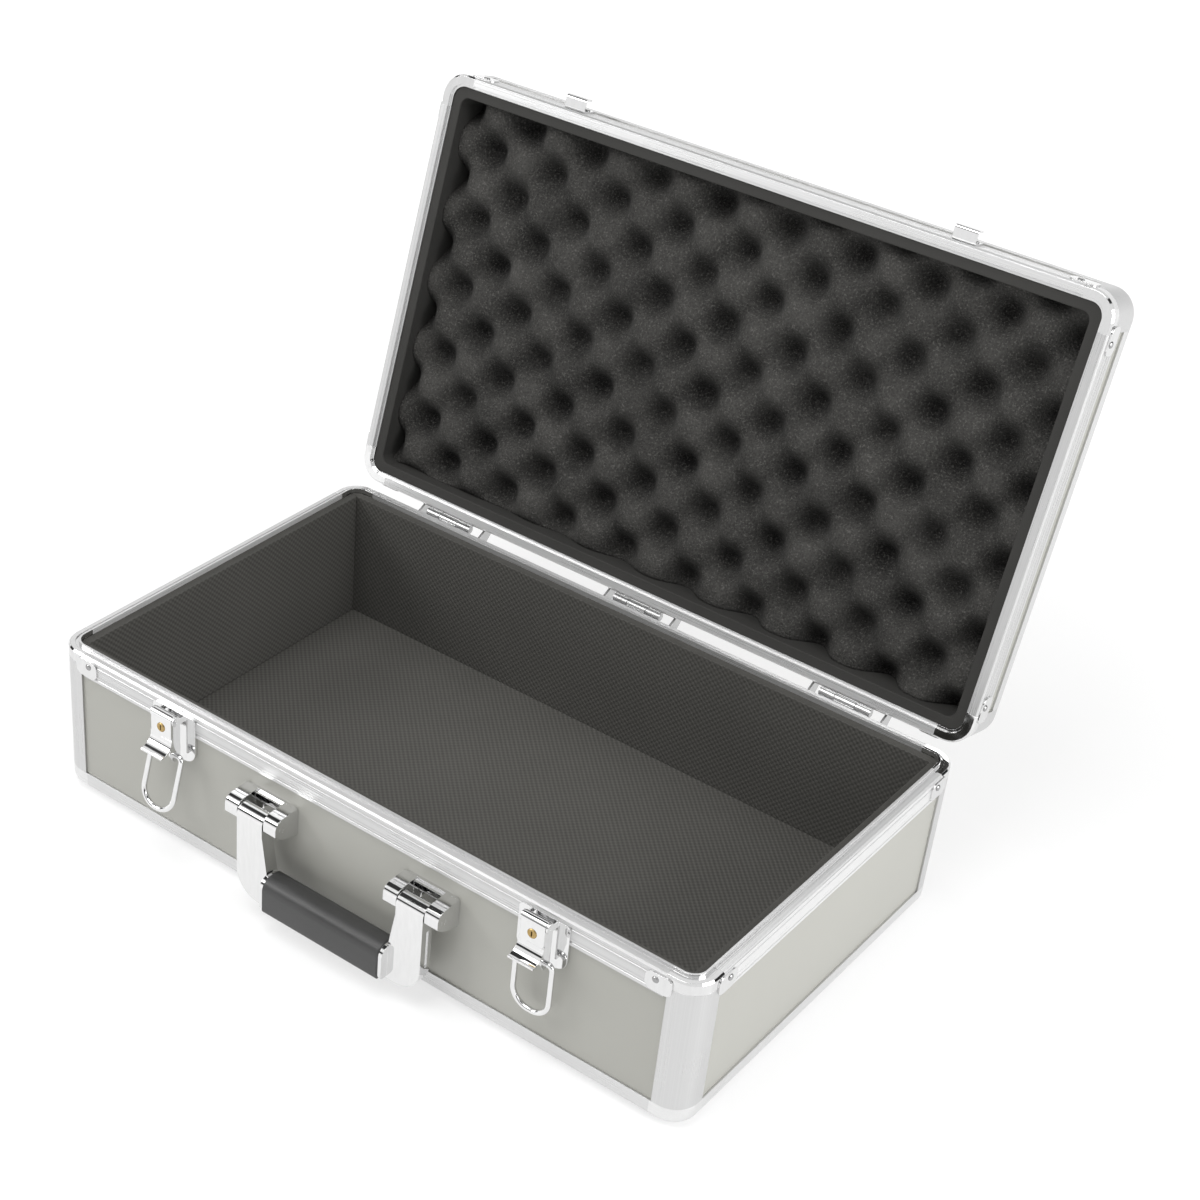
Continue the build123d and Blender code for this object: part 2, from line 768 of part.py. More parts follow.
leg_back = handle_pivot_out + handle_barrel - leg_depth
outer = handle_half + leg_width / 2
leg_top = handle_half - leg_width / 2
leg_low = leg_top - leg_swell
leg_swell_start = handle_pivot_drop + handle_barrel + bracket_drop
with BuildPart() as frame:
    with BuildSketch(front_plane(leg_back)):
        with BuildLine():
            right = [(outer, -handle_bottom), (outer, -handle_pivot_drop),
                     (leg_top, -handle_pivot_drop), (leg_top, -leg_swell_start),
                     (leg_low, -shoulder_drop),
                     (grip_half, -shoulder_drop - shoulder_step), (grip_half, spine - handle_bottom)]
            Polyline(*right, *[(-x, z) for x, z in reversed(right)], close=True)
        make_face()
        fillet(vertices().group_by(Axis.Y)[0], handle_corner)
    extrude(amount=leg_depth)
    for x in handle_places.values():
        with BuildSketch(across_front(x - leg_width / 2)):
            with Locations(handle_pivot):
                Circle(handle_barrel)
        extrude(amount=-leg_width)
        with BuildSketch(across_front(x - leg_width / 2)):
            with Locations(handle_pivot):
                Circle(handle_pin_radius + pin_clearance)
        extrude(amount=-leg_width, mode=Mode.SUBTRACT)
    for start in (-grip_half - collar, grip_half):
        extrude(grip_sketch(across_front(start), collar_inset), amount=-collar)
    for side in (-1, 1):
        groove_x = side * (handle_half + leg_width / 2)
        with BuildSketch(front_plane(handle_pivot_out)):
            with Locations((groove_x, -handle_pivot_drop - 2 * handle_barrel)):
                Rectangle(2 * leg_side_groove, shoulder_drop - handle_pivot_drop - handle_barrel,
                          align=(Align.CENTER, Align.MAX))
        extrude(amount=leg_side_groove_width, mode=Mode.SUBTRACT)
write(frame.part, "handle_frame")

with BuildPart() as grip:
    extrude(grip_sketch(across_front(-grip_half), 0), amount=-2 * grip_half)
    with BuildSketch(across_front(-grip_half)):
        with Locations((leg_back, -handle_bottom)):
            Rectangle(leg_depth, spine, align=low_corner)
    extrude(amount=-2 * grip_half, mode=Mode.SUBTRACT)
write(grip.part, "handle_grip")

for side, x in handle_places.items():
    write(handle_bracket(x), f"handle_bracket_{side}")

with BuildPart() as handle_pins:
    for x in handle_places.values():
        with BuildSketch(across_front(x - bracket_width / 2)):
            with Locations(handle_pivot):
                Circle(handle_pin_radius)
        extrude(amount=-bracket_width)
write(handle_pins.part, "handle_pins")

# Feet under the bottom and on the back
with BuildPart() as foot:
    Cylinder(foot_radius, foot_height, align=(Align.CENTER, Align.CENTER, Align.MIN))
    chamfer(foot.faces().sort_by(Axis.Z)[-1].edges(), foot_chamfer)

under_plane = Plane(origin=(0, 0, 0), x_dir=(1, 0, 0), z_dir=(0, 0, -1))
with BuildPart(under_plane) as bottom_feet:
    with GridLocations(case_width - 2 * foot_inset_x, case_depth - 2 * foot_inset_y, 2, 2):
        add(foot.part)
write(bottom_feet.part, "bottom_feet")

back_foot_x = half_w - foot_inset_x
with BuildPart(face_plane(sides["back"], 0, -skin)) as back_feet:
    with Locations((-back_foot_x, back_foot_low), (back_foot_x, back_foot_low),
                   (-back_foot_x, back_foot_high), (back_foot_x, back_foot_high)):
        add(foot.part)
write(back_feet.part, "back_feet")

# Rivets: low heads on the tabs, hinge leaves, latch plates and strikes
with BuildPart() as rivet:
    Cylinder(rivet_head, rivet_rise, align=(Align.CENTER, Align.CENTER, Align.MIN))
    chamfer(rivet.faces().sort_by(Axis.Z)[-1].edges(), rivet_rise * 0.7)
    Cylinder(rivet_shank, rivet_grip, align=(Align.CENTER, Align.CENTER, Align.MAX))


def rivets_on(plane, places):
    return [plane.location * Pos(x, y, 0) * rivet.part for x, y in places]


base_rivets = []
lid_rivets = []
for inward in sides.values():
    reach = side_length(inward) / 2 - tab_rivet
    base_rivets += rivets_on(face_plane(inward, rim_z, tab_thick),
                             [(-reach, -tab_rivet_drop), (reach, -tab_rivet_drop)])
    lid_rivets += rivets_on(face_plane(inward, lid_z, tab_thick),
                            [(-reach, tab_rivet_drop), (reach, tab_rivet_drop)])
leaf_plane = face_plane(sides["back"], rim_z, leaf_thick)
for x in hinge_places:
    base_rivets += rivets_on(leaf_plane, [(x - leaf_rivet_x, -leaf_rivet_drop),
                                          (x + leaf_rivet_x, -leaf_rivet_drop)])
    lid_rivets += rivets_on(leaf_plane, [(x - leaf_rivet_x, leaf_rivet_drop),
                                         (x + leaf_rivet_x, leaf_rivet_drop)])
for x in latch_places.values():
    base_rivets += rivets_on(front_plane(plate_thick),
                             [(x + plate_rivet_x, -plate_rivet_high), (x, -plate_rivet_low)])
    lid_rivets += rivets_on(front_plane(strike_thick),
                            [(x - strike_width / 4, seal_gap + strike_rivet),
                             (x + strike_width / 4, seal_gap + strike_rivet)])
write(group(base_rivets), "base_rivets")
write_lid(group(lid_rivets), "lid_rivets")
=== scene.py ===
# Looks of the open pedal case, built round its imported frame
import json
import math

import bmesh
import bpy
from mathutils import Matrix, Vector, noise


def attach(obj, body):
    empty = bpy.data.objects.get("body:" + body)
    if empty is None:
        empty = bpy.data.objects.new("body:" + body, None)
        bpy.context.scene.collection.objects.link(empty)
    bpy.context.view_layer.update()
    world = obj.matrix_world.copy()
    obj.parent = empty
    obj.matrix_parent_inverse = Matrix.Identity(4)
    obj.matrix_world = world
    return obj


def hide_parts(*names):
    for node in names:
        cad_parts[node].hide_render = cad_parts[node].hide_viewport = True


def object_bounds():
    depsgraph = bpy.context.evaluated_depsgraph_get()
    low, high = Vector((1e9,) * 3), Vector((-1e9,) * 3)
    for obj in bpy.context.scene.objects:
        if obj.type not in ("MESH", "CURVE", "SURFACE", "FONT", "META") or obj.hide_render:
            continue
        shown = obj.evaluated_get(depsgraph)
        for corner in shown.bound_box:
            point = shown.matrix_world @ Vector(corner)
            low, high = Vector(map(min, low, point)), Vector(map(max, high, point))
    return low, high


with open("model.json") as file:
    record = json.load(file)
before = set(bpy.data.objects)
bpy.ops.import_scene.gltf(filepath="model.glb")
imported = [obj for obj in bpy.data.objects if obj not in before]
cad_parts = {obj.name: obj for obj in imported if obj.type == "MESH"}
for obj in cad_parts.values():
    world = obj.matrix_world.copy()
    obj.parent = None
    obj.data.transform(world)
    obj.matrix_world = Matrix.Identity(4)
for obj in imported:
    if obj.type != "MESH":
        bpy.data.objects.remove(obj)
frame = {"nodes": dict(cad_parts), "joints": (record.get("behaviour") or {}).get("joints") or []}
cadLow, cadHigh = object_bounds()
nodes = frame["nodes"]
print("frame loaded with", len(nodes), "nodes")

# The lid is made shut and turned open round its hinge
lidHinge = next(joint for joint in frame["joints"] if joint["name"] == "lid_hinge")
hingePoint = Vector(lidHinge["pos_m"])
openAngle = math.radians(lidHinge["range_deg"][1])
lidOpen = (Matrix.Translation(hingePoint) @ Matrix.Rotation(-openAngle, 4, "X")
           @ Matrix.Translation(-hingePoint))
lidShut = lidOpen.inverted()
still = Matrix.Identity(4)


def nodeBox(name, turn=still):
    points = [turn @ vertex.co for vertex in nodes[name].data.vertices]
    return Vector(map(min, zip(*points))), Vector(map(max, zip(*points)))


# Camera, fitted to the straight edges of the case in the photograph
photo = {
    "side": 1200,              # pixels
    "focal": 2285.1,           # pixels
    "middleX": 478.6,          # where the lens axis meets the picture
    "middleY": 738.2,
    "turn": 35.512,            # degrees
    "tilt": 54.285,
    "roll": 4.524,
    "place": (0.68295, -0.97995, 0.93325),
    "sensor": 36.0,
    "nearest": 0.05,
    "farthest": 60,
}


def makeCamera():
    data = bpy.data.cameras.new("photoCamera")
    data.sensor_width = photo["sensor"]
    data.lens = photo["focal"] / photo["side"] * photo["sensor"]
    data.shift_x = 0.5 - photo["middleX"] / photo["side"]
    data.shift_y = photo["middleY"] / photo["side"] - 0.5
    data.clip_start = photo["nearest"]
    data.clip_end = photo["farthest"]
    camera = bpy.data.objects.new("photoCamera", data)
    camera.matrix_world = (Matrix.Translation(photo["place"])
                           @ Matrix.Rotation(math.radians(photo["turn"]), 4, "Z")
                           @ Matrix.Rotation(math.radians(photo["tilt"]), 4, "X")
                           @ Matrix.Rotation(math.radians(photo["roll"]), 4, "Z"))
    bpy.context.scene.collection.objects.link(camera)
    bpy.context.scene.camera = camera


makeCamera()
print("camera placed")


# One socket as a value, so that shader maths reads as arithmetic
class Wire:
    def __init__(self, kit, socket):
        self.kit = kit
        self.socket = socket

    def maths(self, operation, first, second):
        return self.kit.node("ShaderNodeMath", {"operation": operation}, {0: first, 1: second})

    def __add__(self, other):
        return self.maths("ADD", self, other)

    def __radd__(self, other):
        return self.maths("ADD", other, self)

    def __sub__(self, other):
        return self.maths("SUBTRACT", self, other)

    def __rsub__(self, other):
        return self.maths("SUBTRACT", other, self)

    def __mul__(self, other):
        return self.maths("MULTIPLY", self, other)

    def __rmul__(self, other):
        return self.maths("MULTIPLY", other, self)

    def __truediv__(self, other):
        return self.maths("DIVIDE", self, other)

    def __gt__(self, other):
        return self.maths("GREATER_THAN", self, other)

    def __lt__(self, other):
        return self.maths("LESS_THAN", self, other)


# A node tree and the one way to add a node to it
class Kit:
    def __init__(self, tree):
        self.tree = tree

    def node(self, kind, settings=None, values=None, output=0):
        made = self.tree.nodes.new(kind)
        for key, value in (settings or {}).items():
            if key == "stops":
                self.setStops(made.color_ramp.elements, value)
            else:
                setattr(made, key, value)
        for key, value in (values or {}).items():
            self.feed(made.inputs[key], value)
        return Wire(self, made.outputs[output])

    def setStops(self, elements, stops):
        while len(elements) < len(stops):
            elements.new(0.5)
        for element, (position, colour) in zip(elements, stops):
            element.position = position
            element.color = colour

    def feed(self, socket, value):
        if isinstance(value, Wire):
            self.tree.links.new(value.socket, socket)
        else:
            socket.default_value = value


# A material whose patterns all read Object coordinates
class Finish(Kit):
    def __init__(self, name):
        self.material = bpy.data.materials.new(name)
        self.material.use_nodes = True
        super().__init__(self.material.node_tree)
        self.shader = self.tree.nodes["Principled BSDF"]
        self.place = self.node("ShaderNodeTexCoord", output="Object")

    def axes(self):
        parts = self.node("ShaderNodeSeparateXYZ", {}, {0: self.place}).socket.node
        return [Wire(self, socket) for socket in parts.outputs]

    def noise(self, scale, detail=2.0, stretch=(1, 1, 1), turn=(0, 0, 0), roughness=0.5):
        spot = self.node("ShaderNodeMapping", {"vector_type": "TEXTURE"},
                         {"Vector": self.place, "Rotation": turn,
                          "Scale": [1 / share for share in stretch]})
        return self.node("ShaderNodeTexNoise", {}, {"Vector": spot, "Scale": scale,
                                                    "Detail": detail, "Roughness": roughness})

    def pores(self, scale):
        return self.node("ShaderNodeTexVoronoi", {}, {"Vector": self.place, "Scale": scale})

    def wave(self, value):
        return self.node("ShaderNodeMath", {"operation": "SINE"}, {0: value})

    def blend(self, factor, low, high):
        return self.node("ShaderNodeMix", {"data_type": "RGBA"},
                         {0: factor, 6: low, 7: high}, output=2)

    def bump(self, height, look, normal=None):
        values = {"Strength": look["strength"], "Distance": look["depth"], "Height": height}
        if normal:
            values["Normal"] = normal
        return self.node("ShaderNodeBump", {}, values)

    def softEdge(self, radius):
        return self.node("ShaderNodeBevel", {"samples": 4}, {"Radius": radius})

    def done(self, **values):
        for key, value in values.items():
            self.feed(self.shader.inputs[key.replace("_", " ")], value)
        return self.material


def grey(level):
    return (level, level, level, 1)


# Satin grey laminate of the boards: faint clouds, a fine grain and a soft gloss
laminate = {
    "low": (0.340, 0.338, 0.310, 1),
    "high": (0.385, 0.383, 0.350, 1),
    "cloud": 9,
    "cloudShare": 0.7,
    "grain": 1400,
    "grainShare": 0.3,
    "roughness": 0.38,
    "grainRoughness": 0.14,
    "depth": 0.00006,
    "strength": 0.5,
    "edge": 0.0003,
}


def laminateFinish():
    f = Finish("panel_laminate")
    cloud = f.noise(laminate["cloud"], detail=3)
    grain = f.noise(laminate["grain"])
    shade = cloud * laminate["cloudShare"] + grain * laminate["grainShare"]
    colour = f.blend(shade, laminate["low"], laminate["high"])
    roughness = laminate["roughness"] + laminate["grainRoughness"] * (grain - 0.5)
    return f.done(Base_Color=colour, Roughness=roughness,
                  Normal=f.bump(grain, laminate, f.softEdge(laminate["edge"])))


# Extruded aluminium: fine draw lines along each profile under a satin anodising
extrusion = {
    "line": 55,
    "streak": 0.06,            # how far the lines take the tone up and down
    "ridge": 20,
    "dust": 24,
    "roughness": 0.29,
    "lineRoughness": 0.10,
    "dustRoughness": 0.08,
    "depth": 0.00004,
    "strength": 0.35,
    "edge": 0.0004,
}

# Stretch of the lines, long along the profile, and their turn with the lid
drawLines = {
    "x": ((0.02, 40, 40), 0),
    "y": ((40, 0.02, 40), 0),
    "z": ((40, 40, 0.02), 0),
    "lid": ((40, 0.02, 40), -openAngle),
}

# Each copy's tone is painted light and shade: the same aluminium is made lighter or darker by
# the side it faces
# "matt" is the share of the finish that scatters, "ridged" the contrast of the ridges
profilesShadedBySide = {
    "rimX": {"name": "rim_profile_x", "along": "x", "tone": 0.57, "matt": 0.30, "ridged": 0.13},
    "rimY": {"name": "rim_profile_y", "along": "y", "tone": 0.64, "matt": 0.60, "ridged": 0.07},
    "rimLid": {"name": "rim_profile_lid", "along": "lid", "tone": 0.54, "matt": 0.30,
               "ridged": 0.13},
    "rimLidX": {"name": "rim_profile_lid_x", "along": "x", "tone": 0.68, "matt": 0.30,
                "ridged": 0.13},
    "edgeX": {"name": "edge_profile_x", "along": "x", "tone": 0.64},
    "edgeY": {"name": "edge_profile_y", "along": "y", "tone": 0.70},
    "edgeLid": {"name": "edge_profile_lid", "along": "lid", "tone": 0.66},
    "bottomCorner": {"name": "bottom_corner", "along": "x", "tone": 0.73},
    "lidCorner": {"name": "lid_corner", "along": "x", "tone": 0.58},
    "post": {"name": "post_profile", "along": "z", "tone": 0.60},
}


def profileFinish(name, along, tone, matt=0.0, ridged=0.0):
    stretch, turn = drawLines[along]
    f = Finish(name)
    lines = f.noise(extrusion["line"], stretch=stretch, turn=(turn, 0, 0))
    ridges = f.noise(extrusion["ridge"], detail=1, stretch=stretch, turn=(turn, 0, 0))
    dust = f.noise(extrusion["dust"], detail=3)
    spread = extrusion["streak"] + ridged
    share = ridged / spread
    # the tone here holds this copy's painted light and shade
    colour = f.blend(lines * (1 - share) + ridges * share, grey(tone - spread),
                     grey(tone + spread))
    roughness = (extrusion["roughness"] + extrusion["lineRoughness"] * (lines - 0.5)
                 + extrusion["dustRoughness"] * (dust - 0.5))
    return f.done(Base_Color=colour, Metallic=1.0 - matt, Roughness=roughness,
                  Normal=f.bump(lines, extrusion, f.softEdge(extrusion["edge"])))


# Bright plating of corners, latches, strikes and handle: slight ripple, faint rub marks
plating = {
    "wave": 70,
    "rub": 420,
    "rubStretch": (1, 1, 0.2),
    "rubRoughness": 0.06,
    "streak": 0.04,
    "strength": 0.5,
    "edge": 0.00035,
}

# "depth" is the height of the ripple
platings = {
    "chrome": {"name": "bright_chrome", "tone": 0.75, "roughness": 0.03, "depth": 0.00010},
    "cornerChrome": {"name": "corner_chrome", "tone": 0.70, "roughness": 0.04,
                     "depth": 0.0010},
    "rivet": {"name": "rivet_steel", "tone": 0.34, "roughness": 0.14, "depth": 0.00004},
    "steel": {"name": "hinge_steel", "tone": 0.56, "roughness": 0.2, "depth": 0.00005},
    "handleMetal": {"name": "handle_plating", "tone": 0.75, "roughness": 0.04,
                    "depth": 0.00004},
}


def platedFinish(name, tone, roughness, depth):
    f = Finish(name)
    wave = f.noise(plating["wave"], detail=1)
    rubbed = f.noise(plating["rub"], detail=3, stretch=plating["rubStretch"])
    colour = f.blend(rubbed, grey(tone - plating["streak"]), grey(tone + plating["streak"]))
    ripple = {"depth": depth, "strength": plating["strength"]}
    return f.done(Base_Color=colour, Metallic=1.0,
                  Roughness=roughness + plating["rubRoughness"] * rubbed,
                  Normal=f.bump(wave, ripple, f.softEdge(plating["edge"])))


# The plug's head is brass, the rest of it behind the lever's face is plain steel
plug = {
    "low": (0.33, 0.22, 0.08, 1),
    "high": (0.52, 0.38, 0.17, 1),
    "head": 0.0155,            # how far the brass reaches behind the case's foremost point
    "steel": 0.5,
    "toolMark": 900,
    "roughness": 0.2,
    "markRoughness": 0.12,
    "depth": 0.00003,
    "strength": 0.4,
    "edge": 0.00015,
}


def brassFinish():
    f = Finish("plug_brass")
    turned = f.noise(plug["toolMark"])
    brass = f.blend(turned, plug["low"], plug["high"])
    out = f.axes()[1]
    colour = f.blend(out < cadLow.y + plug["head"], grey(plug["steel"]), brass)
    return f.done(Base_Color=colour, Metallic=1.0,
                  Roughness=plug["roughness"] + plug["markRoughness"] * turned,
                  Normal=f.bump(turned, plug, f.softEdge(plug["edge"])))


# Charcoal lining of the base: foam sheet with a fine crossed emboss
lining = {
    "low": (0.037, 0.036, 0.033, 1),
    "high": (0.108, 0.105, 0.096, 1),
    "pitch": 0.0030,
    "ribShare": 0.6,
    "crossShare": 0.4,
    "fuzz": 1600,
    "cloud": 16,
    "weaveTone": 0.6,
    "fuzzTone": 0.2,
    "cloudTone": 0.2,
    "roughness": 0.72,
    "weaveRoughness": 0.1,
    "specular": 0.35,
    "fuzzHeight": 0.15,
    "depth": 0.00032,
    "strength": 0.8,
}


def embossedFinish(name, across, up):
    f = Finish(name)
    axes = f.axes()
    u, v = axes[across], axes[up]
    turns = 2 * math.pi / (lining["pitch"] * math.sqrt(2))
    rib = f.wave((u + v) * turns)
    crossRib = f.wave((u - v) * turns)
    weave = (rib * lining["ribShare"] + crossRib * lining["crossShare"]) * 0.5 + 0.5
    fuzz = f.noise(lining["fuzz"])
    cloud = f.noise(lining["cloud"], detail=3)
    shade = (weave * lining["weaveTone"] + fuzz * lining["fuzzTone"]
             + cloud * lining["cloudTone"])
    colour = f.blend(shade, lining["low"], lining["high"])
    roughness = lining["roughness"] + lining["weaveRoughness"] * (0.5 - weave)
    return f.done(Base_Color=colour, Roughness=roughness, Specular_IOR_Level=lining["specular"],
                  Normal=f.bump(weave + fuzz * lining["fuzzHeight"], lining))


# Plain foam: the cut edges of the lining and the band round the lid's foam
plainFoams = {
    "cutEdge": {
        "name": "lining_cut_edge",
        "low": (0.036, 0.035, 0.032, 1),
        "high": (0.078, 0.076, 0.070, 1),
        "cell": 1500,
        "cellTone": 0.6,
        "cloud": 60,
        "cloudTone": 0.5,
        "cloudHeight": 0.0,
        "roughness": 0.85,
        "specular": 0.25,
        "depth": 0.00015,
        "strength": 0.6,
    },
    "band": {
        "name": "lid_band_foam",
        "low": (0.024, 0.0235, 0.022, 1),
        "high": (0.046, 0.045, 0.042, 1),
        "cell": 1900,
        "cellTone": 0.35,
        "cloud": 22,
        "cloudTone": 0.5,
        "cloudHeight": 0.6,
        "roughness": 0.8,
        "specular": 0.3,
        "depth": 0.00012,
        "strength": 0.5,
    },
}


def foamFinish(foam):
    f = Finish(foam["name"])
    cells = f.pores(foam["cell"])
    cloud = f.noise(foam["cloud"], detail=3)
    colour = f.blend(cells * foam["cellTone"] + cloud * foam["cloudTone"], foam["low"],
                     foam["high"])
    return f.done(Base_Color=colour, Roughness=foam["roughness"],
                  Specular_IOR_Level=foam["specular"],
                  Normal=f.bump(cells + cloud * foam["cloudHeight"], foam))


# Shape of the lid's convoluted foam, its lattice fitted to the pits in the photograph
eggCrate = {
    "cell": 0.0016,            # of the mesh
    "pitchX": 0.0521,
    "pitchY": 0.0487,
    "peakX": -0.0038,
    "peakY": -0.0219,
    "turn": math.radians(1.73),    # the sheet is cut a little askew
    "lean": -0.009,
    "valley": 0.0205,          # from the peaks down to the valleys
    "sharpness": 1.85,         # above 1 the peaks are broad and the pits narrow
    "unevenness": 0.0009,
    "unevenScale": 34,
    "corner": 0.006,
    "flank": 0.05,             # faces steeper than this stay flat, as the skirt does
}

# Its open cells: pores of two sizes, a slight blotch of colour, painted glints as pale specks,
# painted shade in the pits
openCells = {
    "low": (0.0065, 0.0063, 0.0060, 1),
    "high": (0.118, 0.115, 0.108, 1),
    "coarse": 620,
    "coarseTone": 0.25,
    "fine": 1700,
    "fineTone": 0.15,
    "fineHeight": 0.6,
    "blotch": 34,
    "blotchTone": 0.5,
    "lift": 0.13,
    "paintedPitShade": 0.25,
    "paintedGlint": 760,
    "paintedGlintFrom": 0.60,
    "paintedGlintTone": 0.35,
    "roughness": 0.9,
    "specular": 0.2,
    "depth": 0.0006,
    "strength": 0.9,
}


def crateFinish():
    f = Finish("egg_crate_foam")
    coarse = f.pores(openCells["coarse"])
    fine = f.pores(openCells["fine"])
    blotch = f.noise(openCells["blotch"], detail=4)
    paintedGlint = f.noise(openCells["paintedGlint"], detail=3, roughness=0.6)
    y, z = f.axes()[1:]
    rise = lidShut[2]          # this row of the matrix gives a point's height in the shut lid
    foamTop = nodeBox("lid_foam", lidShut)[0].z
    # painted shade: the deeper a point lies towards the valleys, the darker its colour
    sunk = (y * rise[1] + z * rise[2] + (rise[3] - foamTop)) / eggCrate["valley"]
    shade = (coarse * openCells["coarseTone"] + fine * openCells["fineTone"]
             + (blotch - 0.5) * openCells["blotchTone"] + openCells["lift"]
             - sunk * openCells["paintedPitShade"])
    # painted glints: pale specks where the noise runs high
    paintedGlints = (paintedGlint > openCells["paintedGlintFrom"]) * openCells["paintedGlintTone"]
    colour = f.blend(shade + paintedGlints, openCells["low"], openCells["high"])
    return f.done(Base_Color=colour, Roughness=openCells["roughness"],
                  Specular_IOR_Level=openCells["specular"],
                  Normal=f.bump(coarse + fine * openCells["fineHeight"], openCells))


# Rubber of the grip and the feet: a fine pebble, worn a little unevenly
rubber = {
    "wear": 50,
    "pebbleTone": 0.5,
    "wearTone": 0.5,
    "darkest": 0.75,           # as shares of the level
    "palest": 1.35,
    "wearRoughness": 0.12,
    "depth": 0.00008,
    "strength": 0.5,
    "edge": 0.0008,
}

rubbers = {
    "grip": {"name": "soft_grip", "level": 0.036, "grain": 1500, "roughness": 0.34},
    "foot": {"name": "foot_rubber", "level": 0.02, "grain": 1100, "roughness": 0.65},
}


def rubberFinish(name, level, grain, roughness):
    f = Finish(name)
    pebble = f.pores(grain)
    wear = f.noise(rubber["wear"], detail=3)
    colour = f.blend(pebble * rubber["pebbleTone"] + wear * rubber["wearTone"],
                     grey(level * rubber["darkest"]), grey(level * rubber["palest"]))
    return f.done(Base_Color=colour,
                  Roughness=roughness + rubber["wearRoughness"] * (wear - 0.5),
                  Normal=f.bump(pebble, rubber, f.softEdge(rubber["edge"])))


def makeFinishes():
    made = {"laminate": laminateFinish()}
    for key, look in profilesShadedBySide.items():
        made[key] = profileFinish(**look)
    for key, look in platings.items():
        made[key] = platedFinish(**look)
    made["brass"] = brassFinish()
    made["floorLining"] = embossedFinish("embossed_floor", 0, 1)
    made["longLining"] = embossedFinish("embossed_long_wall", 0, 2)
    made["shortLining"] = embossedFinish("embossed_short_wall", 1, 2)
    for key, foam in plainFoams.items():
        made[key] = foamFinish(foam)
    made["crate"] = crateFinish()
    for key, look in rubbers.items():
        made[key] = rubberFinish(**look)
    return made


finishes = makeFinishes()
print("materials made:", len(finishes))


# Which finish a node of the frame takes, by a part of its name: all others are chrome
nodeMarks = {
    "_board": "laminate",
    "base_rim_front": "rimX",
    "base_rim_back": "rimX",
    "base_rim_left": "rimY",
    "base_rim_right": "rimY",
    "lid_rim_front": "rimLidX",
    "lid_rim_back": "rimLidX",
    "lid_rim_left": "rimLid",
    "lid_rim_right": "rimLid",
    "edge_front": "edgeX",
    "edge_back": "edgeX",
    "bottom_edge_left": "edgeY",
    "bottom_edge_right": "edgeY",
    "top_edge_left": "edgeLid",
    "top_edge_right": "edgeLid",
    "corner_posts": "post",
    "bottom_corners": "bottomCorner",
    "lid_corners": "lidCorner",
    "rim_corners": "cornerChrome",
    "_rivets": "rivet",
    "hinge_": "steel",
    "handle_frame": "handleMetal",
    "handle_grip": "grip",
    "key_plug": "brass",
    "_feet": "foot",
}


def nodeFinish(name):
    return next((finish for mark, finish in nodeMarks.items() if mark in name), "chrome")


smoothing = {"weld": 0.000002, "angle": math.radians(28)}


def smoothNode(piece):  # rounds read as rounds, corners stay crisp
    for face in piece.data.polygons:
        face.use_smooth = True
    weld = piece.modifiers.new("weld", "WELD")
    weld.merge_threshold = smoothing["weld"]
    split = piece.modifiers.new("creases", "EDGE_SPLIT")
    split.split_angle = smoothing["angle"]


for name, piece in nodes.items():
    piece.data.materials.clear()
    piece.data.materials.append(finishes[nodeFinish(name)])
    smoothNode(piece)
print("nodes dressed")


# New pieces: each stands for a solid of the frame
def newPiece(name, mesh, finishNames, body, replaced):
    data = bpy.data.meshes.new(name)
    mesh.to_mesh(data)
    mesh.free()
    for finishName in finishNames:
        data.materials.append(finishes[finishName])
    piece = bpy.data.objects.new(name, data)
    bpy.context.scene.collection.objects.link(piece)
    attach(piece, body)
    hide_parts(replaced)
    return piece


sheets = {
    "rounding": 0.0005,        # of the cut edges
    "roundSteps": 2,
    "upward": 0.7,             # faces that look up or down more than this are cut edges
}


def addSheet(mesh, low, high):  # a foam sheet with softened cut edges
    size = high - low
    middle = (low + high) / 2
    block = bmesh.ops.create_cube(mesh, size=1)["verts"]
    bmesh.ops.scale(mesh, vec=size, verts=block)
    bmesh.ops.translate(mesh, vec=middle, verts=block)
    edges = [edge for edge in mesh.edges if edge.verts[0] in block and edge.verts[1] in block]
    bmesh.ops.bevel(mesh, geom=edges, offset=sheets["rounding"], offset_type="OFFSET",
                    segments=sheets["roundSteps"], profile=0.5, affect="EDGES", material=-1)


def makeFloorLining():
    mesh = bmesh.new()
    addSheet(mesh, *nodeBox("floor_lining"))
    newPiece("lining_floor", mesh, ["floorLining"], "base", "floor_lining")


def makeWallLining(name, finishName, replaced, axis, thick):  # two sheets facing each other
    low, high = nodeBox(replaced)
    firstHigh, secondLow = high.copy(), low.copy()
    firstHigh[axis] = low[axis] + thick
    secondLow[axis] = high[axis] - thick
    mesh = bmesh.new()
    addSheet(mesh, low, firstHigh)
    addSheet(mesh, secondLow, high)
    for face in mesh.faces:
        face.material_index = 1 if abs(face.normal.z) > sheets["upward"] else 0
        face.smooth = False
    newPiece(name, mesh, [finishName, "cutEdge"], "base", replaced)


def makeBaseLining():
    makeFloorLining()
    thick = nodeBox("short_wall_lining")[0].y - nodeBox("long_wall_lining")[0].y
    makeWallLining("lining_long_walls", "longLining", "long_wall_lining", 1, thick)
    makeWallLining("lining_short_walls", "shortLining", "short_wall_lining", 0, thick)


# The plain band round the lid's foam
band = {
    "outerRound": 0.009,
    "innerRound": 0.006,
    "roundSteps": 8,
    "rounding": 0.0007,        # of its long edges
    "edgeSteps": 2,
    "edgeAngle": math.radians(50),
}


